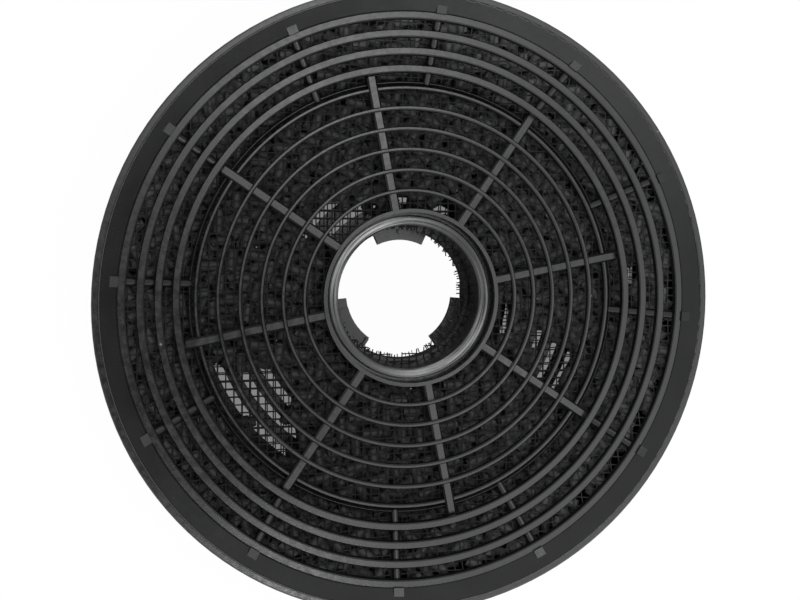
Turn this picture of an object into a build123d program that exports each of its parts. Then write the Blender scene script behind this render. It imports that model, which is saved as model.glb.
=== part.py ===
from build123d import *
import math
import os

# Round carbon filter of a cooker hood, in millimetres. It lies on its back face: Z is up through the
# central tube, the origin is at the centre of the back face, and spoke number one points along +X.

# Overall sizes
rim_radius = 105.0
height = 42.0

# Side wall and rim of the housing
wall = 2.0
wall_draft = 0.8
rim_overhang = 1.0
rim_flange_height = 1.9
rim_round = 0.6
lip_width = 2.0
lip_sink = 0.3
bead_round = 0.35
ledge_step = 0.6

# Sloping slots of the housing: four wide rings that cross over narrow round-topped ribs
wide_ring_count = 4
wide_ring_inset = 7.0
wide_ring_drop = 4.7
wide_ring_width = 2.55
wide_ring_pitch = 5.42
wide_ring_depth = 2.4
dish_slope = 0.59
ring_edge = 0.35
band_sink = 0.7
rib_count = 12
rib_first_angle = 15.0
rib_width = 3.0
rib_sink = 1.0
rib_depth = 2.6
rib_round = 1.45
rib_pad_length = 2.2
rib_pad_width = 3.4
rib_pad_rise = 0.7
inner_rim_clearance = 2.2
inner_rim_width = 1.3
inner_rim_depth = 1.5
inner_rim_edge = 0.6

# Inner grille: thin rings that cross over eight spokes, with the central tube
thin_ring_count = 6
thin_ring_clearance = 0.7
thin_ring_width = 1.45
thin_ring_depth = 2.2
thin_ring_edge = 0.4
outer_thin_ring_sink = 1.7
spoke_count = 8
spoke_width = 3.4
spoke_depth = 2.2
spoke_sink = 1.0
spoke_edge = 0.6
spoke_overlap = 1.8
collar_ring_radius = 31.4
collar_ring_width = 1.3
collar_ring_rise = 0.3
groove_depth = 7.0
groove_floor = 1.6
groove_width = 0.9
tube_wall = 3.4
tube_edge = 0.5
tube_mouth_drop = 4.3
tube_mouth_fall = 1.0

# Nets and carbon
net_thickness = 0.7
net_pitch = 2.8
net_thread = 0.45
net_turn = -10.8
net_overhang = 1.2
net_clearance = 0.3
net_seat = 0.1
bed_clearance = 0.3
pellet_radius = 2.0
pellet_length = 6.5
pellet_spacing = 4.1
pellet_sides = 6
pellet_roll = 77.0
golden_angle = 137.508

# Back cover: wide flat rings on eight spokes, and a bayonet hub with three tabs
cover_height = 6.2
cover_clearance = 0.2
cover_edge_width = 3.0
back_ring_gap = 2.9
back_ring_depth = 2.4
back_ring_offset = 1.0
back_spoke_depth = 4.6
hub_bore = 24.4
hub_wall = 4.0
tab_count = 3
tab_first_angle = 79.0
tab_angle = 50.0
tab_reach = 4.1
tab_thickness = 2.0
tab_stop_width = 1.0
tab_stop_rise = 1.6
tab_stop_inset = 0.6
tab_knob_radius = 1.1
tab_knob_inset = 0.8
tab_knob_rise = 1.1
tab_recess_angle = 10.0
tab_recess_depth = 1.0

# Bare patches of the carbon, where light comes through: from and to, counted in thin rings outside
# the collar ring, then the first and last angle
bare_patches = [
    (3.2, 5.7, 190.0, 215.0),
    (0.2, 1.0, 102.0, 134.0),
    (0.3, 1.45, 326.0, 337.0),
    (2.55, 4.85, 320.0, 332.5),
]

# Radii worked out from the rim inwards
wall_top_radius = rim_radius - rim_overhang
wall_foot_radius = wall_top_radius - wall_draft
wall_inner_foot = wall_foot_radius - wall
ledge_radius = wall_inner_foot - ledge_step
lip_radius = rim_radius - lip_width
bead_inner = lip_radius - 2 * bead_round
wide_ring_radius = rim_radius - wide_ring_inset
slot_radius = wide_ring_radius - (wide_ring_count - 1) * wide_ring_pitch - wide_ring_width
inner_rim_radius = slot_radius - inner_rim_clearance
thin_ring_reach = inner_rim_radius - inner_rim_width - thin_ring_clearance
thin_ring_pitch = (thin_ring_reach - collar_ring_radius) / thin_ring_count
spoke_reach = inner_rim_radius + spoke_overlap
collar_ring_inner = collar_ring_radius - collar_ring_width
tube_radius = collar_ring_inner - groove_width
tube_bore = tube_radius - tube_wall
net_bore = hub_bore - net_overhang
net_edge_radius = ledge_radius - net_clearance
cover_radius = wall_inner_foot - cover_clearance
tab_radius = hub_bore - tab_reach
back_ring_width = thin_ring_pitch - back_ring_gap

# Heights worked out from the rim down and from the cover up
flange_bottom = height - rim_flange_height
lip_top = height - lip_sink
dish_height = height - wide_ring_drop
rib_bottom = dish_height - rib_sink - rib_depth
inner_rim_bottom = rib_bottom - (wide_ring_radius - inner_rim_radius) * dish_slope
inner_rim_top = inner_rim_bottom + inner_rim_depth
spoke_bottom = inner_rim_top
spoke_top = spoke_bottom + spoke_depth
thin_top = spoke_top + spoke_sink
collar_top = thin_top + collar_ring_rise
groove_bottom = collar_top - groove_depth
tube_top = collar_top - tube_mouth_drop
tube_mouth = tube_top - tube_mouth_fall
net_top = cover_height + net_thickness
net_brim_top = rib_bottom - net_seat
net_brim_bottom = net_brim_top - net_thickness
front_net_top = inner_rim_bottom - net_seat
front_net_bottom = front_net_top - net_thickness
bed_drop = bed_clearance + pellet_radius


def dish(radius):
    """Height of the wide rings' tops at a radius, on the cone that falls towards the centre."""
    return dish_height - (wide_ring_radius - radius) * dish_slope


def radial_plane(angle):
    """Upright plane through the axis: its x runs outwards at that angle and its y is up."""
    turn = math.radians(angle)
    outwards = (math.cos(turn), math.sin(turn), 0)
    return Plane(origin=(0, 0, 0), x_dir=outwards, z_dir=(math.sin(turn), -math.cos(turn), 0))


def cross_plane(angle, radius, level, slope=0.0):
    """Plane across a bar that runs outwards at an angle and climbs by slope: its y is up."""
    turn = math.radians(angle)
    outwards = (math.cos(turn), math.sin(turn), slope)
    start = (radius * math.cos(turn), radius * math.sin(turn), level)
    return Plane(origin=start, x_dir=(-math.sin(turn), math.cos(turn), 0), z_dir=outwards)


def spread(count, first):
    """Angles of a number of like features, evenly round the axis."""
    return [first + 360.0 * number / count for number in range(count)]


def outline(*points):
    """A closed straight-sided face from its corners, added to the sketch that is open."""
    Polygon(*points, align=None)


def ring_section(outer, width, top, depth, edge):
    """Section of one grille ring, with small bevels at its top."""
    inner = outer - width
    outline(
        (outer, top - depth),
        (outer, top - edge),
        (outer - edge, top),
        (inner + edge, top),
        (inner, top - edge),
        (inner, top - depth),
    )


def sector(inner, outer, first, last):
    """A piece of a flat ring between two radii and two angles, added to the sketch that is open."""
    span = last - first
    with BuildLine() as border:
        far = CenterArc((0, 0), outer, first, span)
        near = CenterArc((0, 0), inner, first, span)
        Line(far @ 0, near @ 0)
        Line(far @ 1, near @ 1)
    make_face(border.edges())


def patch_radii(patch):
    """Inner and outer radius of a bare patch."""
    return [collar_ring_radius + rings * thin_ring_pitch for rings in patch[:2]]


def in_bare_patch(x, y):
    """Whether a point of the net lies over a bare patch of the carbon."""
    radius = math.hypot(x, y)
    angle = math.degrees(math.atan2(y, x)) % 360.0
    for patch in bare_patches:
        near, far = patch_radii(patch)
        if near < radius < far and patch[2] < angle < patch[3]:
            return True
    return False


def open_cells():
    """Centres of the net's square cells over the bare patches."""
    turn = math.radians(net_turn)
    reach = round(inner_rim_radius / net_pitch)
    centres = []
    for column in range(-reach, reach + 1):
        for row in range(-reach, reach + 1):
            u = column * net_pitch
            v = row * net_pitch
            x = u * math.cos(turn) - v * math.sin(turn)
            y = u * math.sin(turn) + v * math.cos(turn)
            if in_bare_patch(x, y):
                centres.append((x, y))
    return centres


def pellet_places():
    """Where the top pellets lie: spread like sunflower seeds, each turned by one more roll step."""
    nearest = collar_ring_radius + pellet_length / 2 + bed_clearance
    farthest = wide_ring_radius - pellet_length / 2
    places = []
    for number in range(int((farthest / pellet_spacing) ** 2)):
        radius = pellet_spacing * math.sqrt(number)
        if radius < nearest:
            continue
        lean = dish_slope if radius > inner_rim_radius else 0.0
        level = front_net_bottom - bed_drop + (radius - inner_rim_radius) * lean
        angle = number * golden_angle
        lying = cross_plane(angle, radius, level, lean)
        outwards = lying.z_dir
        roll = math.radians(number * pellet_roll)
        along = outwards * math.cos(roll) + lying.x_dir * math.sin(roll)
        places.append(Plane(origin=lying.origin, x_dir=along, z_dir=lying.y_dir).location)
    return places


# Housing: side wall with a rim, the sloping slots and the inner rim, moulded as one
with BuildPart() as housing:
    with BuildSketch(Plane.XZ):
        outline(
            (wall_foot_radius, 0),
            (wall_top_radius, flange_bottom),
            (rim_radius, flange_bottom),
            (rim_radius, lip_top),
            (bead_inner, lip_top),
            (wide_ring_radius - ring_edge, dish_height - band_sink),
            (wide_ring_radius - ring_edge, dish_height - wide_ring_depth),
            (wall_top_radius - wall, dish_height - wide_ring_depth),
            (ledge_radius, dish_height - wide_ring_depth - wall),
            (ledge_radius, net_top),
            (wall_inner_foot, net_top),
            (wall_inner_foot, 0),
        )
    revolve(axis=Axis.Z)
    rim_edges = housing.edges().filter_by(GeomType.CIRCLE).sort_by(SortBy.RADIUS)[-2:]
    fillet(rim_edges.sort_by(Axis.Z)[-1], rim_round)
    with BuildSketch(Plane.XZ):
        with Locations((lip_radius - bead_round, height - bead_round)):
            Circle(bead_round)
        for number in range(wide_ring_count):
            outer = wide_ring_radius - number * wide_ring_pitch
            ring_section(outer, wide_ring_width, dish(outer), wide_ring_depth, ring_edge)
        ring_section(inner_rim_radius, inner_rim_width, inner_rim_top, inner_rim_depth, inner_rim_edge)
    revolve(axis=Axis.Z)
    spoke_angles = spread(spoke_count, 0.0)
    for angle in spread(rib_count, rib_first_angle):
        inner = inner_rim_radius - inner_rim_width
        if angle in spoke_angles:
            inner = spoke_reach + net_clearance
        length = (wide_ring_radius + wall / 2 - inner) * math.hypot(1, dish_slope)
        foot = rib_depth / math.hypot(1, dish_slope)
        with BuildSketch(cross_plane(angle, inner, dish(inner) - rib_sink, dish_slope)) as rib:
            Rectangle(rib_width, foot, align=(Align.CENTER, Align.MAX))
            fillet(rib.vertices().group_by(Axis.Y)[-1], rib_round)
        extrude(amount=length)
        pad_end = wide_ring_radius + rib_pad_length
        with BuildSketch(radial_plane(angle)):
            outline(
                (wide_ring_radius - ring_edge, dish_height - wide_ring_depth),
                (wide_ring_radius - ring_edge, dish_height + rib_pad_rise),
                (pad_end, dish(pad_end) + rib_pad_rise),
                (pad_end, dish_height - wide_ring_depth),
            )
        extrude(amount=rib_pad_width / 2, both=True)
housing.part.label = "housing"

# Inner grille: six thin rings, the collar ring and the central tube on eight spokes, moulded as one
with BuildPart() as inner_grille:
    with BuildSketch(Plane.XZ):
        for number in range(1, thin_ring_count + 1):
            outer = collar_ring_radius + number * thin_ring_pitch
            top = thin_top
            if number == thin_ring_count:
                top -= outer_thin_ring_sink
            ring_section(outer, thin_ring_width, top, thin_ring_depth, thin_ring_edge)
        outline(
            (collar_ring_radius, groove_bottom - groove_floor),
            (collar_ring_radius, collar_top),
            (collar_ring_inner, collar_top),
            (collar_ring_inner, groove_bottom),
            (tube_radius, groove_bottom),
            (tube_radius, tube_top - tube_edge),
            (tube_radius - tube_edge, tube_top),
            (tube_bore + tube_edge, tube_mouth),
            (tube_bore, tube_mouth - tube_edge),
            (tube_bore, net_top),
            (tube_radius, net_top),
            (tube_radius, groove_bottom - groove_floor),
        )
    revolve(axis=Axis.Z)
    spoke_start = collar_ring_radius - collar_ring_width / 2
    for angle in spread(spoke_count, 0.0):
        with BuildSketch(cross_plane(angle, spoke_start, spoke_top)) as spoke:
            Rectangle(spoke_width, spoke_depth, align=(Align.CENTER, Align.MAX))
            chamfer(spoke.vertices().group_by(Axis.Y)[-1], spoke_edge)
        extrude(amount=spoke_reach - spoke_start)
inner_grille.part.label = "inner_grille"

# Front net: a thin dished disc under the ribs, with its square cells open over the bare patches
with BuildPart() as front_net:
    with BuildSketch(Plane.XZ):
        outline(
            (collar_ring_radius + net_clearance, front_net_bottom),
            (collar_ring_radius + net_clearance, front_net_top),
            (inner_rim_radius, front_net_top),
            (wide_ring_radius, net_brim_top),
            (net_edge_radius, net_brim_top),
            (net_edge_radius, net_brim_bottom),
            (wide_ring_radius, net_brim_bottom),
            (inner_rim_radius, front_net_bottom),
        )
    revolve(axis=Axis.Z)
    with BuildSketch(Plane.XY.offset(front_net_bottom)):
        with Locations(*open_cells()):
            Rectangle(net_pitch - net_thread, net_pitch - net_thread, rotation=net_turn)
    extrude(amount=net_thickness, mode=Mode.SUBTRACT)
front_net.part.label = "front_net"

# Back net: a flat disc clamped between the ledge, the tube and the back cover
with BuildPart() as back_net:
    with BuildSketch(Plane.XY.offset(cover_height)):
        Circle(cover_radius)
        Circle(net_bore, mode=Mode.SUBTRACT)
        with Locations(*open_cells()):
            Rectangle(net_pitch - net_thread, net_pitch - net_thread, rotation=net_turn, mode=Mode.SUBTRACT)
    extrude(amount=net_thickness)
back_net.part.label = "back_net"

# One pellet of the carbon: a short rod with few sides, lying along X
with BuildPart() as pellet:
    with BuildSketch(Plane.YZ):
        RegularPolygon(pellet_radius, pellet_sides)
    extrude(amount=pellet_length / 2, both=True)

# Carbon bed: the pellets as one body between the two nets, with the top ones in relief under the
# front net, and bare where light comes through
with BuildPart() as carbon_bed:
    with BuildSketch(Plane.XZ):
        bed_outer = ledge_radius - bed_clearance
        bed_inner = collar_ring_radius + bed_clearance
        outline(
            (tube_radius + bed_clearance, net_top),
            (tube_radius + bed_clearance, groove_bottom - groove_floor - bed_clearance),
            (bed_inner, groove_bottom - groove_floor - bed_clearance),
            (bed_inner, front_net_bottom - bed_drop),
            (inner_rim_radius, front_net_bottom - bed_drop),
            (wide_ring_radius, net_brim_bottom - bed_drop),
            (wide_ring_radius, net_brim_bottom),
            (bed_outer, net_brim_bottom),
            (bed_outer, net_top),
        )
    revolve(axis=Axis.Z)
    with Locations(*pellet_places()):
        add(pellet.part)
    with BuildSketch(Plane.XY.offset(net_top)):
        for patch in bare_patches:
            near, far = patch_radii(patch)
            sector(near, far, patch[2], patch[3])
    extrude(amount=front_net_bottom - net_top, mode=Mode.SUBTRACT)
carbon_bed.part.label = "carbon_bed"

# Back cover: flat rings on spokes, an edge that fits in the side wall, and the hub with its tabs
first_back_ring = collar_ring_radius - thin_ring_width / 2 + back_ring_offset
back_ring_count = int((cover_radius - collar_ring_radius) / thin_ring_pitch)
with BuildPart() as back_cover:
    with BuildSketch(Plane.XZ):
        outline(
            (cover_radius, 0),
            (cover_radius, cover_height),
            (cover_radius - cover_edge_width, cover_height),
            (cover_radius - cover_edge_width, 0),
        )
        outline(
            (hub_bore + hub_wall, 0),
            (hub_bore + hub_wall, cover_height - back_ring_depth),
            (first_back_ring + back_ring_width / 2, cover_height - back_ring_depth),
            (first_back_ring + back_ring_width / 2, cover_height),
            (hub_bore, cover_height),
            (hub_bore, 0),
        )
        for number in range(1, back_ring_count + 1):
            middle = first_back_ring + number * thin_ring_pitch
            outline(
                (middle + back_ring_width / 2, cover_height - back_ring_depth),
                (middle + back_ring_width / 2, cover_height),
                (middle - back_ring_width / 2, cover_height),
                (middle - back_ring_width / 2, cover_height - back_ring_depth),
            )
    revolve(axis=Axis.Z)
    for angle in spread(spoke_count, 0.0):
        with BuildSketch(radial_plane(angle)):
            outline(
                (hub_bore + hub_wall / 2, cover_height - back_spoke_depth),
                (cover_radius - cover_edge_width / 2, cover_height - back_spoke_depth),
                (cover_radius - cover_edge_width / 2, cover_height),
                (hub_bore + hub_wall / 2, cover_height),
            )
        extrude(amount=spoke_width / 2, both=True)
    for angle in spread(tab_count, tab_first_angle):
        first = angle - tab_angle / 2
        last = angle + tab_angle / 2
        hub_middle = hub_bore + hub_wall / 2
        with BuildSketch(Plane.XY):
            sector(tab_radius, hub_middle, first + tab_recess_angle, last)
        extrude(amount=tab_thickness)
        with BuildSketch(Plane.XY):
            sector(tab_radius, hub_middle, first, first + tab_recess_angle)
        extrude(amount=tab_thickness - tab_recess_depth)
        with BuildSketch(Plane.XY):
            with PolarLocations(hub_bore - tab_knob_inset, 1, start_angle=angle):
                Circle(tab_knob_radius)
        extrude(amount=tab_thickness + tab_knob_rise)
        stop_start = tab_radius + tab_stop_inset
        with BuildSketch(cross_plane(last, stop_start, 0)):
            outline(
                (-tab_stop_width, 0),
                (-tab_stop_width, tab_thickness + tab_stop_rise),
                (0, tab_thickness + tab_stop_rise),
                (0, 0),
            )
        extrude(amount=hub_middle - stop_start)
back_cover.part.label = "back_cover"

os.makedirs("parts", exist_ok=True)
for piece in (housing, inner_grille, front_net, carbon_bed, back_net, back_cover):
    export_step(piece.part, f"parts/{piece.part.label}.step")
    print(piece.part.label, "solids", len(piece.solids()), "volume", round(piece.part.volume))
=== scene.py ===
# %% [markdown]
# # A round carbon filter for a cooker hood
#
# The filter is a flat cartridge of black moulded plastic. Its dished face has four wide rings over
# twelve ribs, and a flat middle with six thin rings over eight spokes. A tube runs through the centre.
# Under the rings lie a square net, pellets of activated carbon and a second net.
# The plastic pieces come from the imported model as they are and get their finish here. The nets and the
# pellets are too fine for that model, so this lesson builds them as meshes of their own.

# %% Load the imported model
import math
import random

import bpy
import numpy as np
from mathutils import Matrix, Vector


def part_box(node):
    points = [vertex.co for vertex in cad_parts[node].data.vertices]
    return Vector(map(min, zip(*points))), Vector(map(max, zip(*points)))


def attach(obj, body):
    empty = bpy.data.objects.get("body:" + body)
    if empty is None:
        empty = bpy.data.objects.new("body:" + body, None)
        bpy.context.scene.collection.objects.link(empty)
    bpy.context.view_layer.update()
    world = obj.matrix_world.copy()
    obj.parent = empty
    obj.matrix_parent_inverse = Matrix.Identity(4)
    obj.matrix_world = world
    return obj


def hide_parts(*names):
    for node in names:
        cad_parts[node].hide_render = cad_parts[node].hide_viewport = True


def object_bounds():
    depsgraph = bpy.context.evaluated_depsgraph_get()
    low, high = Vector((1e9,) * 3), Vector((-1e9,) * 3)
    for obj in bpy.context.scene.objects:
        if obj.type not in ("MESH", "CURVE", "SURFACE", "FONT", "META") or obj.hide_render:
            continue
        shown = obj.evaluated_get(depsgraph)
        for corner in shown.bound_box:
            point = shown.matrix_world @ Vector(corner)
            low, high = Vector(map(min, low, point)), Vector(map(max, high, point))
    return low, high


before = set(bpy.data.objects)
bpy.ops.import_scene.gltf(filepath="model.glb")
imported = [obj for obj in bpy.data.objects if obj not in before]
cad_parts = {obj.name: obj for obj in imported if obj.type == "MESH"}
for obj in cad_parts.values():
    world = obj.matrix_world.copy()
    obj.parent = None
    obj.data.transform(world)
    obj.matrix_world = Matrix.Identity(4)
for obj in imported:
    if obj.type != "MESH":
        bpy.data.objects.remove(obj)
cad_low, cad_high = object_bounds()
print("model from", [round(v, 4) for v in cad_low], "to", [round(v, 4) for v in cad_high])

# %% [markdown]
# ## Units and sizes
#
# Blender works in metres here, and a filter is easier to think of in millimetres. One constant turns
# millimetres to metres, and the sizes are written the way a ruler would give them. The heights of the
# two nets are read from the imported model, so that what is built here lies where the model has it.

# %% Millimetres and the sizes that the nets and pellets follow
MM = 0.001
RIM_TOP = cad_high.z
BACK_NET_LOW, BACK_NET_HIGH = (corner.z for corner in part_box("back_net"))
FRONT_NET_LOW, FRONT_NET_HIGH = (corner.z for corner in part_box("front_net"))
NET_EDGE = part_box("front_net")[1].x
NET_SHEET = BACK_NET_HIGH - BACK_NET_LOW
DISH_FLAT = 77.0 * MM
DISH_BRIM = 98.0 * MM
COLLAR = 31.7 * MM
TUBE = 29.2 * MM
TUBE_SHOULDER = 17.4 * MM
TUBE_MOUTH = 20.4 * MM
print("back net at", round(BACK_NET_LOW, 4))
print("front net from", round(FRONT_NET_LOW, 4), "to", round(FRONT_NET_HIGH, 4))

# %% [markdown]
# The front net is flat in the middle and climbs to a flat brim, as the dish over it does. The net and
# the top pellets both follow that line, so it is one function.

# %% The dish
DISH_SLOPE = (FRONT_NET_HIGH - NET_SHEET - FRONT_NET_LOW) / (DISH_BRIM - DISH_FLAT)


def dish_height(radius):
    """Underside of the front net at a radius: flat in the middle, rising to a flat brim."""
    low = FRONT_NET_LOW
    high = FRONT_NET_HIGH - NET_SHEET
    rise = (radius - DISH_FLAT) / (DISH_BRIM - DISH_FLAT)
    return low + (high - low) * np.clip(rise, 0.0, 1.0)


print("the dish climbs", round(DISH_SLOPE, 2), "mm per mm")

# %% [markdown]
# ## The camera
#
# The photograph was taken from close by, about 30 cm above the rim, so the near side of the rim is
# larger than the far side. The filter's axis leans about 12.6 degrees to the right of the line of
# sight. A lens given in pixels is turned to millimetres with the width of Blender's sensor. The middle
# of the lens isn't the middle of the picture, because the picture is a cut-out of a larger one, and the
# small shift says so.

# %% Camera
IMAGE_WIDTH = 800
LENS_PIXELS = 864.0
LENS_CENTRE = (421.0, 244.0)
IMAGE_CENTRE = (400.0, 300.0)
AXIS_LEAN = Vector((0.2231, -0.0106, 1.0)).normalized()
RIM_FROM_CAMERA = Vector((0.63, -19.12, -289.0)) * MM
FIRST_SPOKE = math.radians(10.8)
NEAREST_SEEN = 10.0 * MM

across = Vector((0.0, 1.0, 0.0)).cross(AXIS_LEAN).normalized()
upwards = AXIS_LEAN.cross(across)
to_filter = Matrix.Rotation(-FIRST_SPOKE, 3, "Z") @ Matrix((across, upwards, AXIS_LEAN))

camera_data = bpy.data.cameras.new("camera")
camera = bpy.data.objects.new("camera", camera_data)
bpy.context.scene.collection.objects.link(camera)
camera_data.lens = LENS_PIXELS * camera_data.sensor_width / IMAGE_WIDTH
camera_data.shift_x = (IMAGE_CENTRE[0] - LENS_CENTRE[0]) / IMAGE_WIDTH
camera_data.shift_y = (LENS_CENTRE[1] - IMAGE_CENTRE[1]) / IMAGE_WIDTH
camera_data.clip_start = NEAREST_SEEN
eye = Vector((0.0, 0.0, RIM_TOP)) - to_filter @ RIM_FROM_CAMERA
camera.matrix_world = Matrix.Translation(eye) @ to_filter.to_4x4()
bpy.context.scene.camera = camera
print("camera at", [round(v, 3) for v in eye], "lens", round(camera_data.lens, 2))

# %% [markdown]
# ## Small helpers for materials
#
# Colours are written as the hex codes of a paint card, and one function turns them to the linear
# values that the shader wants. The next one adds a shader node with its settings and links. Directions
# are given as the viewer of the picture sees them, because the light and the wear were read from it.

# %% Helpers for colours, nodes and directions
def from_picture(toward):
    """A direction given as right, up and towards the picture's viewer, in the filter's own frame."""
    return Matrix.Rotation(-FIRST_SPOKE, 3, "Z") @ Vector(toward).normalized()


def linear(code, alpha=1.0):
    """A hex colour such as #1c1c1d as linear red, green, blue and alpha."""
    channels = [int(code[start:start + 2], 16) / 255 for start in (1, 3, 5)]
    curve = [c / 12.92 if c <= 0.04045 else ((c + 0.055) / 1.055) ** 2.4 for c in channels]
    return (*curve, alpha)


def add_node(tree, kind, inputs=None, **settings):
    """Adds a node, sets its settings, and fills or links its inputs."""
    made = tree.nodes.new(kind)
    for name, value in settings.items():
        setattr(made, name, value)
    for socket, value in (inputs or {}).items():
        if isinstance(value, bpy.types.NodeSocket):
            tree.links.new(value, made.inputs[socket])
        else:
            made.inputs[socket].default_value = value
    return made


def new_material(name):
    """An empty node material and its tree."""
    material = bpy.data.materials.new(name)
    material.use_nodes = True
    material.node_tree.nodes.clear()
    return material, material.node_tree


# %% [markdown]
# The same few sums come back in every material: a product, a ramp, a length, a mixture of two colours.
# With a name for each, a material reads as a short list of what feeds what.

# %% Helpers for sums in a node tree
def work_out(tree, operation, first, second):
    """One sum on two values."""
    return add_node(tree, "ShaderNodeMath", {0: first, 1: second}, operation=operation).outputs[0]


def times(tree, first, *others):
    """The product of two or more values."""
    for other in others:
        first = work_out(tree, "MULTIPLY", first, other)
    return first


def between(tree, value, start, end, low=0.0, high=1.0, **settings):
    """Goes from low at a start to high at an end, and stays level beyond them."""
    span = {"Value": value, "From Min": start, "From Max": end, "To Min": low, "To Max": high}
    return add_node(tree, "ShaderNodeMapRange", span, **settings).outputs["Result"]


def mix(tree, factor, first, second):
    """A colour between two, each given as a hex code or as what another node gives."""
    pair = [linear(colour) if isinstance(colour, str) else colour for colour in (first, second)]
    blend = {"Factor": factor, "A": pair[0], "B": pair[1]}
    return add_node(tree, "ShaderNodeMix", blend, data_type="RGBA").outputs["Result"]


def own_place(tree):
    """The point in the piece's own space."""
    return add_node(tree, "ShaderNodeTexCoord").outputs["Object"]


def length(tree, vector):
    """The length of a vector."""
    return add_node(tree, "ShaderNodeVectorMath", {0: vector}, operation="LENGTH").outputs["Value"]


def reach(tree, vector, direction):
    """How far a vector reaches in a direction."""
    pair = {0: vector, 1: direction}
    return add_node(tree, "ShaderNodeVectorMath", pair, operation="DOT_PRODUCT").outputs["Value"]


# %% [markdown]
# Noise gives most surfaces their small unevenness. Its values crowd round the middle, so the spread
# takes only that middle part. Every material ends in the same two nodes.

# %% Helpers for noise and finish
def grain(tree, size_mm, detail=2.0):
    """Noise whose lumps are about size_mm across, in the piece's own space."""
    noise = {"Vector": own_place(tree), "Scale": 1.0 / (size_mm * MM), "Detail": detail}
    return add_node(tree, "ShaderNodeTexNoise", noise).outputs["Fac"]


def spread_between(tree, noise, low, high, near=0.35, far=0.65):
    """Maps a noise value to a range, using the middle of the noise, where its values lie."""
    return between(tree, noise, near, far, low, high)


def bumps(tree, height, strength, depth):
    """Normals with a fine relief."""
    relief = {"Height": height, "Strength": strength, "Distance": depth}
    return add_node(tree, "ShaderNodeBump", relief).outputs["Normal"]


def finish_with(tree, skin):
    """Ends a material with one principled shader."""
    shader = add_node(tree, "ShaderNodeBsdfPrincipled", skin)
    add_node(tree, "ShaderNodeOutputMaterial", {"Surface": shader.outputs["BSDF"]})


# %% [markdown]
# ## Wear of the mouldings
#
# Use has left its marks. The tube's mouth is rubbed grey in streaks where the motor's boss turns in it,
# and on two opposite sides the streaks are made brighter still as a painted highlight. Powder lies in the
# groove round the tube, and here and there is a speck of lint. Each mark is a mask made from radius and
# height. A painted texture would do as well for one size, but a mask from sizes still fits when a size
# changes.
# The streaks come from noise that is looked up with the radius, many times as fast across as along. The
# direction away from the axis takes the place of the angle, because an angle jumps where it closes.

# %% Masks for wear, powder and lint
STREAK_WIDTH = 0.7 * MM
PAINTED_HIGHLIGHT_SIDE = from_picture((-0.7, 0.7, 0.0))
LEAST_PAINTED_HIGHLIGHT = 0.1
MOUTH_FADE = 0.5 * MM
GROOVE_POWDER = 0.55
POWDER_DEPTH = 0.6 * MM
MARK_START = 0.1 * MM
MARK_FULL = 0.3 * MM
LINT_APART = 14.0 * MM
LINT_SIZE = 0.5 * MM


def round_the_axis(tree):
    """Radius, height and direction away from the axis."""
    parts = add_node(tree, "ShaderNodeSeparateXYZ", {"Vector": own_place(tree)}).outputs
    flat = add_node(tree, "ShaderNodeCombineXYZ", {"X": parts["X"], "Y": parts["Y"]}).outputs[0]
    away = add_node(tree, "ShaderNodeVectorMath", {0: flat}, operation="NORMALIZE").outputs["Vector"]
    return length(tree, flat), parts["Z"], away


def mouth_wear_and_highlight(tree):
    """How rubbed the mouth of the tube is, in streaks that run round it, with a painted highlight on two
    opposite sides, and nothing elsewhere.
    """
    radius, height, away = round_the_axis(tree)
    inside = between(tree, radius, TUBE + MARK_START, TUBE - MARK_FULL)
    above = between(tree, height, TUBE_MOUTH, TUBE_MOUTH + MOUTH_FADE)
    turn = add_node(tree, "ShaderNodeSeparateXYZ", {"Vector": away}).outputs
    across = times(tree, radius, 1.0 / STREAK_WIDTH)
    drawn_out = {"X": across, "Y": turn["X"], "Z": turn["Y"]}
    place = add_node(tree, "ShaderNodeCombineXYZ", drawn_out).outputs[0]
    noise = {"Vector": place, "Scale": 1.0, "Detail": 4.0}
    streak = add_node(tree, "ShaderNodeTexNoise", noise).outputs["Fac"]
    rubbed = spread_between(tree, streak, 0.0, 1.0, 0.38, 0.62)
    # The streaks are strongest on two opposite sides: there they are a painted highlight.
    side = reach(tree, away, PAINTED_HIGHLIGHT_SIDE)
    painted_highlight = between(tree, times(tree, side, side), 0.0, 1.0, LEAST_PAINTED_HIGHLIGHT, 1.0)
    return times(tree, times(tree, inside, above), times(tree, rubbed, painted_highlight))


def groove_powder(tree):
    """Powder that lies in the groove between the tube and the collar, and nothing elsewhere."""
    radius, height, away = round_the_axis(tree)
    past = between(tree, radius, TUBE, TUBE + MARK_FULL)
    before = between(tree, radius, COLLAR + MARK_START, COLLAR - MARK_FULL)
    below = between(tree, height, TUBE_MOUTH + POWDER_DEPTH, TUBE_MOUTH)
    return times(tree, times(tree, past, before), times(tree, below, GROOVE_POWDER))


def lint(tree):
    """One on a few small specks and nothing between them."""
    cells = {"Vector": own_place(tree), "Scale": 1.0 / LINT_APART}
    distance = add_node(tree, "ShaderNodeTexVoronoi", cells).outputs["Distance"]
    return between(tree, distance, LINT_SIZE / LINT_APART, 0.5 * LINT_SIZE / LINT_APART)


# %% [markdown]
# ## Moulded polypropylene
#
# The housing, the grille and the cover are black polypropylene from a lightly sparked mould. To the eye
# that gives a satin skin: a soft grey sheen under the lamps, a very fine grain, and slightly uneven gloss
# where the plastic flowed. Carbon dust and handling leave the upward faces a little greyer. The colour
# could be one flat grey, but the sheen would then look painted on, so the colour, the gloss and
# the relief each get their own noise, sized in millimetres.

# %% Polypropylene
MOST_DUST_ON_TOP = 0.14


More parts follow.
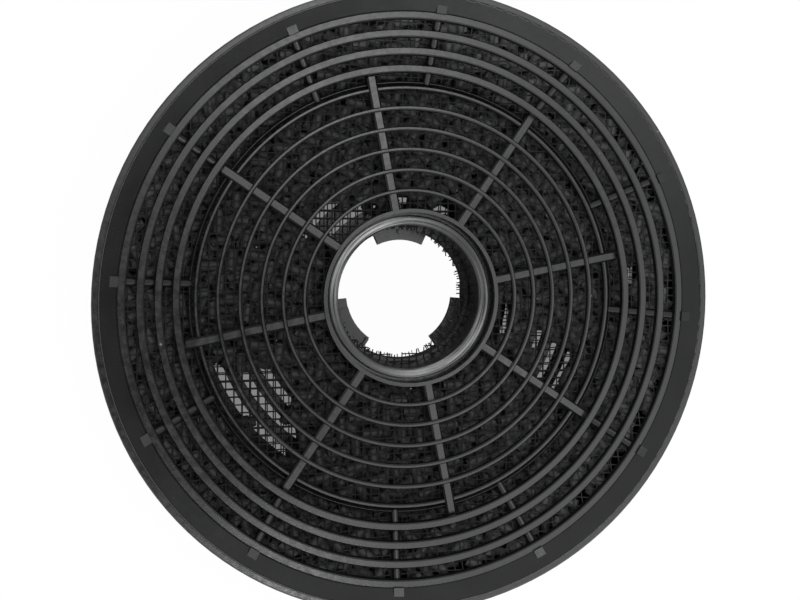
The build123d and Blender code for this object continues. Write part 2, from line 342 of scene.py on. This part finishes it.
def moulded_polypropylene():
    """Satin black plastic, dusty on top, rubbed and given a painted highlight at the tube's mouth."""
    material, tree = new_material("black_polypropylene_moulded")
    flow = grain(tree, 14.0)
    wear = grain(tree, 2.2, 4.0)
    skin = grain(tree, 0.5)
    colour = mix(tree, spread_between(tree, flow, 0.0, 1.0), "#0f0f0f", "#171717")
    facing = add_node(tree, "ShaderNodeNewGeometry").outputs["Normal"]
    upward = add_node(tree, "ShaderNodeSeparateXYZ", {"Vector": facing}).outputs["Z"]
    settled = between(tree, upward, 0.6, 1.0, 0.0, MOST_DUST_ON_TOP)
    colour = mix(tree, times(tree, settled, wear), colour, "#4a4a4a")
    # The light grey at the mouth is wear in streaks, with a painted highlight on two opposite sides.
    colour = mix(tree, mouth_wear_and_highlight(tree), colour, "#9c9c9c")
    colour = mix(tree, lint(tree), colour, "#6a6a68")
    colour = mix(tree, groove_powder(tree), colour, "#808080")
    # A roughness of a quarter gives the eye a satin sheen, with no sharp picture of the lamps in it.
    gloss = spread_between(tree, wear, 0.20, 0.30)
    relief = bumps(tree, skin, 0.25, 0.05 * MM)
    finish_with(tree, {"Base Color": colour, "Roughness": gloss, "Normal": relief, "IOR": 1.49})
    return material


plastic = moulded_polypropylene()
for name in ("housing", "inner_grille", "back_cover"):
    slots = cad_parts[name].material_slots
    for slot in slots:
        slot.material = plastic
    print(name, "has", len(slots), "slot of polypropylene")

# %% [markdown]
# ## The nets
#
# The nets are extruded from black polyethylene in one go: threads 0.45 mm thick, 2.8 mm apart, welded
# where they cross. A texture with holes would look right from the front only, and the threads catch
# light and cast shadows on the pellets, so each thread is real: a thin four-sided strand that follows
# the dish. A crossing every pitch gives the strands their points.

# %% Strands of a net
PITCH = 2.8 * MM
THREAD = 0.45 * MM
NET_TURN = -FIRST_SPOKE


def runs_inside(along, inner, outer, offset, shift, aside):
    """The stretches of one straight thread between the rim and a bore that may lie off centre."""
    far = math.sqrt(max(outer ** 2 - offset ** 2, 0.0))
    if far == 0.0:
        return []
    if abs(offset - aside) >= inner:
        return [[-far] + [p for p in along if abs(p) < far] + [far]]
    gap = math.sqrt(inner ** 2 - (offset - aside) ** 2)
    left = [-far] + [p for p in along if -far < p < shift - gap] + [shift - gap]
    right = [shift + gap] + [p for p in along if shift + gap < p < far] + [far]
    return [left, right]


def strand(points, sideways, thickness, corners, faces):
    """Adds a four-sided strand through points to the growing lists of corners and faces."""
    start = len(corners)
    half = thickness / 2
    for x, y, z in points:
        corners.append((x + sideways[0] * half, y + sideways[1] * half, z))
        corners.append((x, y, z + half))
        corners.append((x - sideways[0] * half, y - sideways[1] * half, z))
        corners.append((x, y, z - half))
    for step in range(len(points) - 1):
        for side in range(4):
            a = start + step * 4 + side
            b = start + step * 4 + (side + 1) % 4
            faces.append((a, b, b + 4, a + 4))
    last = start + (len(points) - 1) * 4
    faces.append((start + 3, start + 2, start + 1, start))
    faces.append((last, last + 1, last + 2, last + 3))


# %% [markdown]
# The back net was cut with a knife a little off centre, so ragged ends and torn stubs of thread stick
# out into the tube on two sides. The bore of a net may therefore lie off the axis, and a few more
# strands, each with its own lean, stand in for the torn ends.

# %% One net
STUB_ROOT = 1.4 * MM
STUB_LENGTH_MM = (1.1, 2.0)
STUB_LEAN = 0.6


def torn_stub(dice, inner, off_centre, height):
    """Two ends and the sideways direction of one torn thread at the bore."""
    turn = dice.uniform(0.0, 2 * math.pi)
    lean = turn + dice.gauss(0.0, STUB_LEAN)
    root = inner + STUB_ROOT
    tip = root - dice.uniform(*STUB_LENGTH_MM) * MM
    ends = []
    for radius in (root, tip):
        x = off_centre.x + radius * math.cos(turn)
        y = off_centre.y + radius * math.sin(turn)
        ends.append((x, y, float(height(radius))))
    return ends, (-math.sin(lean), math.cos(lean))


def mesh_piece(name, corners, faces):
    """A new object with a mesh of its own, in the scene."""
    mesh = bpy.data.meshes.new(name)
    mesh.from_pydata(corners, [], faces)
    mesh.update()
    piece = bpy.data.objects.new(name, mesh)
    bpy.context.scene.collection.objects.link(piece)
    print(name, "has", len(faces), "faces")
    return piece


def net(name, inner, outer, height, ragged, stubs, off_centre, seed):
    """A square net between two radii, with ragged ends and short torn stubs round its bore."""
    dice = random.Random(seed)
    corners, faces = [], []
    count = int(outer / PITCH)
    along = [step * PITCH for step in range(-count, count + 1)]
    for direction in (0, 1):
        turn = NET_TURN + direction * math.pi / 2
        ahead = (math.cos(turn), math.sin(turn))
        sideways = (-ahead[1], ahead[0])
        shift = off_centre.x * ahead[0] + off_centre.y * ahead[1]
        aside = off_centre.x * sideways[0] + off_centre.y * sideways[1]
        for offset in along:
            cut = inner + dice.uniform(-ragged, ragged)
            for run in runs_inside(along, cut, outer, offset, shift, aside):
                points = []
                for place in run:
                    x = ahead[0] * place + sideways[0] * offset
                    y = ahead[1] * place + sideways[1] * offset
                    points.append((x, y, float(height(math.hypot(x, y)))))
                strand(points, sideways, THREAD, corners, faces)
    for stub in range(stubs):
        ends, sideways = torn_stub(dice, inner, off_centre, height)
        strand(ends, sideways, THREAD, corners, faces)
    return mesh_piece(name, corners, faces)


# %% [markdown]
# The front net follows the dish and ends cleanly at the collar. The back net lies flat.

# %% The two nets
BACK_BORE = 23.6 * MM
RAGGED_ENDS = 0.5 * MM
TORN_STUBS = 150
ON_AXIS = Vector((0.0, 0.0, 0.0))
BORE_CUT = from_picture((-0.9, 0.45, 0.0)) * 2.6 * MM


def front_height(radius):
    """Middle of the front net's sheet."""
    return dish_height(radius) + NET_SHEET / 2


def back_height(radius):
    """Middle of the back net's sheet, which is the same everywhere."""
    return (BACK_NET_LOW + BACK_NET_HIGH) / 2


front_threads = net("front_net_threads", COLLAR, NET_EDGE, front_height, 0.0, 0, ON_AXIS, 1)
cut_edge = (RAGGED_ENDS, TORN_STUBS, BORE_CUT)
back_threads = net("back_net_threads", BACK_BORE, NET_EDGE, back_height, *cut_edge, 2)

# %% [markdown]
# ## Extruded polyethylene
#
# The net's plastic is softer and duller than the mouldings, and full of carbon dust. A lighter grey lies
# on it, more near the brim and more towards the upper right of the picture, where the gaps look an even
# grey: partly dust, partly a painted sheen. The pellets get the same grey, only stronger, because threads
# shed dust.

# %% Polyethylene
DUST_AND_SHEEN_BEGINS = 80.0 * MM
DUST_AND_SHEEN_FULL = 97.0 * MM
DUST_AND_SHEEN_IN_THE_MIDDLE = 0.2
PAINTED_SHEEN_SIDE = from_picture((0.87, 0.5, 0.0))
DIMMEST_FROM = -130.0 * MM
BRIGHTEST_FROM = 80.0 * MM


def dust_and_painted_sheen(tree, strongest):
    """How much dust and painted sheen lie on the filling: more towards the brim and towards the upper
    right.
    """
    place = own_place(tree)
    brim = between(tree, length(tree, place), DUST_AND_SHEEN_BEGINS, DUST_AND_SHEEN_FULL)
    share = between(tree, reach(tree, place, PAINTED_SHEEN_SIDE), DIMMEST_FROM, BRIGHTEST_FROM)
    return times(tree, share, between(tree, brim, 0.0, 1.0, DUST_AND_SHEEN_IN_THE_MIDDLE, strongest))


def extruded_polyethylene():
    """Near black, dull thread plastic with carbon dust and a painted sheen on it."""
    material, tree = new_material("black_polyethylene_extruded")
    powder = grain(tree, 1.5, 3.0)
    colour = mix(tree, spread_between(tree, powder, 0.0, 1.0), "#131313", "#1a1a1a")
    # The lighter grey is dust and a painted sheen together.
    colour = mix(tree, dust_and_painted_sheen(tree, 0.6), colour, "#5a5a5a")
    # Dust keeps the sheen low: to the eye the threads are dull, with no line of light along them.
    gloss = spread_between(tree, powder, 0.60, 0.80)
    finish_with(tree, {"Base Color": colour, "Roughness": gloss, "IOR": 1.51, "Specular IOR Level": 0.2})
    return material


net_plastic = extruded_polyethylene()
for piece, node_name in ((front_threads, "front_net"), (back_threads, "back_net")):
    piece.data.materials.append(net_plastic)
    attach(piece, "root")
    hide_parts(node_name)

# %% [markdown]
# ## Bare patches
#
# In a few places the fill has sunk away and light comes through. A patch is open along the line of
# sight, so a pellet is left out if that line passes through the patch at the front net. Each bare arc is
# given as a radius in millimetres, the angles where it starts and ends, and how far it reaches to
# either side, again in millimetres.

# %% Where the fill is bare
BARE_ARCS = [
    (70.9, 190.0, 202.0, 1.7), (63.6, 194.8, 204.0, 1.8), (56.6, 197.8, 206.7, 1.6),
    (70.2, 209.3, 217.5, 1.3), (63.9, 207.5, 210.4, 0.9), (64.0, 215.5, 218.0, 1.4),
    (35.0, 111.0, 128.0, 1.6), (42.0, 121.0, 134.5, 1.8), (34.6, 82.7, 82.7, 0.5),
    (34.0, 54.8, 58.7, 0.6), (36.7, 332.0, 339.9, 1.0), (34.9, 330.1, 330.1, 1.0),
    (51.3, 329.0, 331.0, 0.9), (58.0, 324.5, 329.5, 1.5), (58.8, 318.4, 318.4, 0.8),
    (64.3, 324.0, 328.6, 0.9), (64.3, 318.8, 321.0, 0.9), (86.3, 352.5, 355.0, 0.9),
]
PELLET_RADIUS = 2.0 * MM
ROD_END = 3.0 * MM
OVERLAP = 0.85


def spots_along(arcs):
    """Places about a millimetre apart along each bare arc, with how far each one reaches."""
    spots = []
    for radius, first, last, width in arcs:
        count = max(1, round(math.radians(last - first) * radius))
        for step in range(count + 1):
            turn = math.radians(first + (last - first) * step / count)
            spots.append((radius * MM * math.cos(turn), radius * MM * math.sin(turn), width * MM))
    return spots


def seen_at(point, height):
    """Where the line from the eye to a point crosses a height."""
    share = (eye.z - height) / (eye.z - point[2])
    return eye.x + (point[0] - eye.x) * share, eye.y + (point[1] - eye.y) * share


def in_bare_spot(middle, direction):
    """Whether a pellet there would close one of the bare spots, as seen from the eye."""
    for share in (-ROD_END, 0.0, ROD_END):
        point = [middle[axis] + direction[axis] * share for axis in range(3)]
        x, y = seen_at(point, FRONT_NET_LOW)
        for spot_x, spot_y, width in bare_spots:
            if math.hypot(x - spot_x, y - spot_y) < width + PELLET_RADIUS * OVERLAP:
                return True
    return False


bare_spots = spots_along(BARE_ARCS)
print(len(bare_spots), "bare spots")

# %% [markdown]
# ## The carbon pellets
#
# Activated carbon for hoods comes as short rods about 4 mm thick, broken at random lengths. They lie
# loosely, mostly flat. Rigid-body simulation could pour them in, but it is slow for some thousands of
# rods that are seen only through slots, so loops lay them. On top are three layers that wind outwards
# like sunflower seeds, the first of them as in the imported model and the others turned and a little
# lower, so that hardly a gap is left.

# %% Top layers of pellets
PELLET_SPACING = 4.1 * MM
PELLET_ROLL = math.radians(77.0)
GOLDEN_ANGLE = math.radians(137.508)
UNDER_NET = 0.3 * MM
COLLAR_ROOM = 3.3 * MM


def spiral_layer(turned, drop):
    """Middle and direction of the pellets of a layer: they lie like sunflower seeds."""
    rods = []
    for number in range(int((DISH_BRIM / PELLET_SPACING) ** 2)):
        radius = PELLET_SPACING * math.sqrt(number)
        turn = number * GOLDEN_ANGLE + turned
        lean = DISH_SLOPE if radius > DISH_FLAT else 0.0
        outwards = Vector((math.cos(turn), math.sin(turn), lean)).normalized()
        sideways = Vector((-math.sin(turn), math.cos(turn), 0.0))
        roll = number * PELLET_ROLL
        level = float(dish_height(radius)) - PELLET_RADIUS - UNDER_NET - drop
        middle = (radius * math.cos(turn), radius * math.sin(turn), level)
        direction = outwards * math.cos(roll) + sideways * math.sin(roll)
        if radius > COLLAR + COLLAR_ROOM and not in_bare_spot(middle, direction):
            rods.append((middle, direction))
    return rods


rods = spiral_layer(0.0, 0.0)
rods += spiral_layer(math.radians(75.0), 1.6 * MM)
rods += spiral_layer(math.radians(150.0), 2.6 * MM)
print(len(rods), "pellets on top")

# %% [markdown]
# Below them, the rods lie on a jittered grid, layer by layer, down to the back net. Every other row is
# shifted by half a step, and in the next layer the rows between, so that rods cover the gaps under them.

# %% Lower layers of pellets
PELLET_GRID = 4.5 * MM
ROW_SHARE = 0.92
PELLET_LAYER = 3.7 * MM
LAYERS = 8
JITTER_MM = 0.9
SAG_MM = 0.6
TILT = 0.2
SHALLOWEST = 0.7


def lower_layers(seed):
    """Middle and direction of the pellets below, on a jittered grid down to the back net."""
    dice = random.Random(seed)
    rods = []
    rows = int(NET_EDGE / PELLET_GRID) + 1
    lowest = BACK_NET_HIGH + PELLET_RADIUS
    for layer in range(1, LAYERS):
        for row in range(-rows, rows + 1):
            for column in range(-rows, rows + 1):
                stagger = 0.5 * ((row + layer) % 2)
                x = (column + stagger) * PELLET_GRID + dice.uniform(-JITTER_MM, JITTER_MM) * MM
                y = row * PELLET_GRID * ROW_SHARE + dice.uniform(-JITTER_MM, JITTER_MM) * MM
                drop = dice.uniform(0.0, SAG_MM) * MM
                radius = math.hypot(x, y)
                z = float(dish_height(radius)) - PELLET_RADIUS - layer * PELLET_LAYER - drop
                heading = dice.uniform(0.0, math.pi)
                tilt = dice.gauss(0.0, TILT)
                direction = Vector((math.cos(heading), math.sin(heading), tilt)).normalized()
                inner = TUBE if z < TUBE_SHOULDER - PELLET_RADIUS else COLLAR
                if z < lowest - PELLET_LAYER * SHALLOWEST:
                    continue
                middle = (x, y, max(z, lowest))
                within = inner + PELLET_RADIUS < radius < NET_EDGE - PELLET_RADIUS
                if within and not in_bare_spot(middle, direction):
                    rods.append((middle, direction))
    return rods


rods += lower_layers(11)
print(len(rods), "pellets in all")

# %% [markdown]
# Each pellet is an eight-sided rod with rough broken ends. All of them become one mesh: the corners of
# one rod are turned, stretched and moved with a matrix product for each place, which is quick. Next to
# the tube and the wall only short rods fit.

# %% Pellet mesh
SIDES = 8
ROD_LENGTH_MM = (5.0, 7.5)
ROD_THICKNESS = (0.88, 1.0)
SHORT_ROD = 2.2
BROKEN_END = 0.25 * MM
SHARP_FROM = math.radians(50)


def unit_rod():
    """Corners and faces of a rod one long and one in radius, along the first axis."""
    angles = np.arange(SIDES) * 2 * np.pi / SIDES
    circle = np.stack([np.zeros(SIDES), np.cos(angles), np.sin(angles)], 1)
    corners = np.vstack([circle + [-0.5, 0, 0], circle + [0.5, 0, 0]])
    faces = [(k, (k + 1) % SIDES, SIDES + (k + 1) % SIDES, SIDES + k) for k in range(SIDES)]
    faces += [tuple(reversed(range(SIDES))), tuple(range(SIDES, 2 * SIDES))]
    return corners, faces


def pellets(name, rods, seed):
    """One mesh with an eight-sided rod at every place, along its direction."""
    dice = np.random.default_rng(seed)
    rod, rod_faces = unit_rod()
    corners, faces = [], []
    for number, (middle, direction) in enumerate(rods):
        long = dice.uniform(*ROD_LENGTH_MM) * MM
        radius = PELLET_RADIUS * dice.uniform(*ROD_THICKNESS)
        away = math.hypot(middle[0], middle[1])
        if away - TUBE < long or away > NET_EDGE - long / 2:
            long = SHORT_ROD * radius
        spin = np.array(direction.to_track_quat("X", "Z").to_matrix())
        shape = rod * [long, radius, radius]
        shape[:, 0] += dice.normal(0, BROKEN_END, 2 * SIDES)
        corners.append(shape @ spin.T + middle)
        faces += [tuple(number * 2 * SIDES + corner for corner in face) for face in rod_faces]
    piece = mesh_piece(name, np.vstack(corners).tolist(), faces)
    piece.data.shade_smooth()
    piece.data.set_sharp_from_angle(angle=SHARP_FROM)
    return piece


carbon = pellets("carbon_pellets", rods, 5)
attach(carbon, "root")
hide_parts("carbon_bed")

# %% [markdown]
# ## Pressed activated carbon
#
# The rods are pressed charcoal powder: charcoal grey and matt, with a grain of tenths of a millimetre.
# Dust and a painted sheen lie on them as on the net, strongest of all at the brim.

# %% Activated carbon
def activated_carbon():
    """Matt charcoal with a powdery grain, settled dust and a painted sheen."""
    material, tree = new_material("activated_carbon_pressed")
    lump = grain(tree, 6.0)
    powder = grain(tree, 0.6, 4.0)
    colour = mix(tree, spread_between(tree, lump, 0.0, 1.0), "#1a1a1a", "#222222")
    # The lighter grey is dust and a painted sheen together, as on the net.
    colour = mix(tree, dust_and_painted_sheen(tree, 1.0), colour, "#686868")
    # To the eye pressed powder is matt, with a faint sheen where the die has smoothed it.
    gloss = spread_between(tree, powder, 0.50, 0.70)
    relief = bumps(tree, powder, 0.6, 0.1 * MM)
    skin = {"Base Color": colour, "Roughness": gloss, "Normal": relief, "Specular IOR Level": 0.3}
    finish_with(tree, skin)
    return material


carbon.data.materials.append(activated_carbon())

# %% [markdown]
# ## Floor
#
# The filter is shown cut out on white. A pale board carries it, and rays that come straight from the
# camera see it as white: nearly white beyond the filter, which leaves a trace of the shadow, and a little
# whiter in the bore. Under the filter they see a dimmer share, a painted shade, so that grey, not white,
# shows through the bare patches. The board itself is painted dark under the filter, a painted shade as
# well, or its light would whiten the wall of the tube from below.

# %% Floor
OPEN_SHARE = 0.95
BORE_SHARE = 0.98
UNDER_SHARE = 0.22
FLOOR_HALF = 3.0


def white_board():
    """A pale board that the camera sees as white round the filter and in its bore."""
    material, tree = new_material("white_studio_board")
    seen = add_node(tree, "ShaderNodeLightPath").outputs["Is Camera Ray"]
    radius = length(tree, own_place(tree))
    beyond = work_out(tree, "GREATER_THAN", radius, NET_EDGE)
    within = work_out(tree, "LESS_THAN", radius, TUBE)
    lit = work_out(tree, "ADD", times(tree, beyond, OPEN_SHARE), times(tree, within, BORE_SHARE))
    # The low share under the filter is painted shade.
    share = times(tree, seen, work_out(tree, "MAXIMUM", lit, UNDER_SHARE))
    # The grey of the board under the filter is painted shade.
    board = add_node(tree, "ShaderNodeBsdfDiffuse", {"Color": mix(tree, beyond, "#606060", "#f0f0f0")})
    glow = add_node(tree, "ShaderNodeEmission", {"Color": linear("#ffffff"), "Strength": 1.0})
    mixed = add_node(tree, "ShaderNodeMixShader", {0: share, 1: board.outputs[0], 2: glow.outputs[0]})
    add_node(tree, "ShaderNodeOutputMaterial", {"Surface": mixed.outputs[0]})
    return material


ends = (-FLOOR_HALF, FLOOR_HALF)
floor = mesh_piece("floor", [(x, y, 0.0) for y in ends for x in ends], [(0, 1, 3, 2)])
floor.data.materials.append(white_board())

# %% [markdown]
# ## Sky
#
# Black satin plastic has next to no colour of its own. What the eye sees on it is a blurred mirror of
# the room, so the room is what has to be right. The level tops of the rings mirror the ceiling near the
# line of sight, each part of a ring another part of the ceiling. The sloping band and the rounded edges
# mirror the walls.
# The ceiling is bright and fades to dimmer walls. The photographer stands in the light and leaves a dark
# spot. One wall is lighter, below the picture, and one is darker, to its right. Rays straight from the
# camera see plain white, which adds no light.

# %% Sky
CEILING = (0.3, 0.0, 1.0)
CEILING_INNER = 12.0
CEILING_OUTER = 48.0
CEILING_LEVEL = 2.1
WALL_LEVEL = 0.8
PHOTOGRAPHER = ((-0.12, -0.17, 1.0), 7.0, 17.0, 0.0)
DIM_CEILING = ((0.37, 0.03, 1.0), 1.0, 9.0, 0.45)
LIGHT_WALL = ((-0.3, -0.95, 0.47), 8.0, 50.0, 1.7)
DARK_WALL = ((1.0, 0.0, 0.40), 8.0, 36.0, 0.4)


def sky_spot(tree, direction, toward, inner, outer, level):
    """A smooth spot of the sky: level within inner degrees of a direction, one beyond outer degrees."""
    near = reach(tree, direction, from_picture(toward))
    start = math.cos(math.radians(outer))
    end = math.cos(math.radians(inner))
    return between(tree, near, start, end, 1.0, level, interpolation_type="SMOOTHSTEP")


def soft_sky(spots):
    """A white sky, bright at the ceiling and dimmer at the walls, with spots that dim or lighten it."""
    world = bpy.data.worlds.new("studio")
    bpy.context.scene.world = world
    world.use_nodes = True
    tree = world.node_tree
    tree.nodes.clear()
    camera_ray = add_node(tree, "ShaderNodeLightPath").outputs["Is Camera Ray"]
    direction = add_node(tree, "ShaderNodeTexCoord").outputs["Generated"]
    fade = sky_spot(tree, direction, CEILING, CEILING_INNER, CEILING_OUTER, 0.0)
    level = between(tree, fade, 0.0, 1.0, CEILING_LEVEL, WALL_LEVEL)
    for spot in spots:
        level = times(tree, level, sky_spot(tree, direction, *spot))
    sky = add_node(tree, "ShaderNodeBackground", {"Color": linear("#f6f7f8"), "Strength": level})
    white = add_node(tree, "ShaderNodeBackground", {"Color": linear("#ffffff"), "Strength": 1.0})
    mixed = add_node(tree, "ShaderNodeMixShader", {0: camera_ray, 1: sky.outputs[0], 2: white.outputs[0]})
    add_node(tree, "ShaderNodeOutputWorld", {"Surface": mixed.outputs[0]})
    print("sky with", len(spots), "spots")


soft_sky((PHOTOGRAPHER, DIM_CEILING, LIGHT_WALL, DARK_WALL))

# %% [markdown]
# ## Panels
#
# Five square soft panels give the brightest reflections. The one above the picture's top and the small
# strong one below it draw the light arcs across the rings there, the one at the right lightens the rings
# beside the hub, and the window and the door are farther down and light the rounded edges. Each is given
# by its brightness, so its size can change without making its mirror image lighter or darker.

# %% Panels
PANEL_DISTANCE = 3.0
PANELS = (
    ("panel_top", (0.12, 0.2, 1.0), 0.75, 3.4),
    ("panel_low", (0.03, -0.47, 1.0), 0.34, 14.0),
    ("panel_right", (0.32, -0.18, 1.0), 0.40, 2.5),
    ("panel_window", (0.08, 0.7, 1.0), 1.2, 2.5),
    ("panel_door", (0.75, -0.9, 1.0), 1.0, 3.0),
)


def panel(name, toward, size, radiance):
    """A square soft panel in a direction of the picture, aimed at the filter."""
    place = from_picture(toward) * PANEL_DISTANCE
    light = bpy.data.lights.new(name, "AREA")
    light.shape = "SQUARE"
    light.size = size
    light.energy = radiance * math.pi * size ** 2
    lamp = bpy.data.objects.new(name, light)
    bpy.context.scene.collection.objects.link(lamp)
    lamp.location = place
    lamp.rotation_euler = (-place).to_track_quat("-Z", "Y").to_euler()
    print(name, "at", [round(v, 2) for v in place])


for settings in PANELS:
    panel(*settings)

# %% [markdown]
# ## Close
#
# The colours are left as written by the Standard view.

# %% View
bpy.context.scene.view_settings.view_transform = "Standard"
